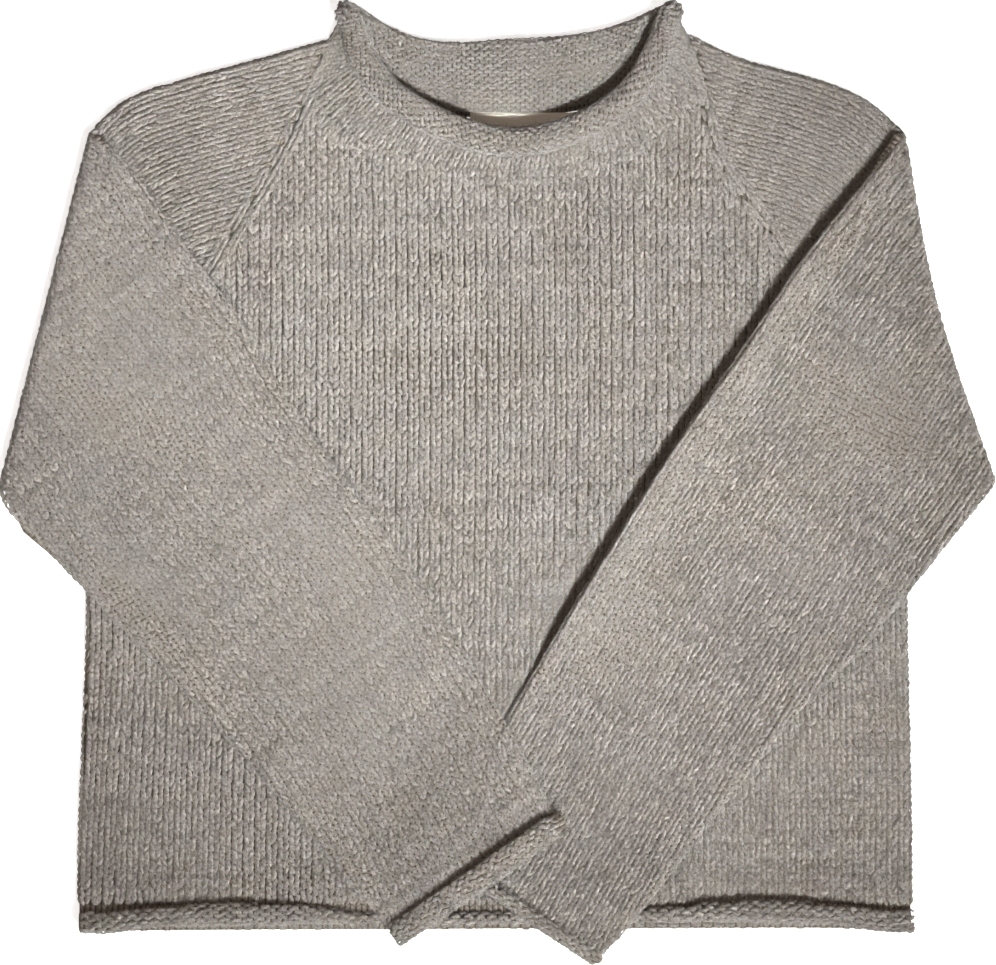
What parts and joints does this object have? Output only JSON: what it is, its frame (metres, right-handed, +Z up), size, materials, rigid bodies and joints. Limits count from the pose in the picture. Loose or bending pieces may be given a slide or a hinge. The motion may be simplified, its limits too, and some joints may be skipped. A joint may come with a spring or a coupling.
{
  "type": "hand-knit sweater",
  "caption": "Hand-knit wool pullover laid flat on its back, sleeves folded across the front, raglan shoulders, rolled neckband, cuffs and hem.",
  "frame": {"origin": "middle of the laid-out sweater's box, on the surface it lies on", "axes": "+X to the wearer's left, +Y towards the neck, +Z up off the surface, out of the sweater's front"},
  "size_m": [0.6054, 0.5896, 0.0392],
  "materials": {
    "wool_knit": "matt heather wool, stockinette",
    "label_tape": "smooth woven tape, blank"
  },
  "bodies": {
    "root": {"back": "wool_knit", "front": "wool_knit", "sleeve_left": "wool_knit", "sleeve_right": "wool_knit", "neckband": "wool_knit", "neck_label": "label_tape"}
  },
  "joints": []
}
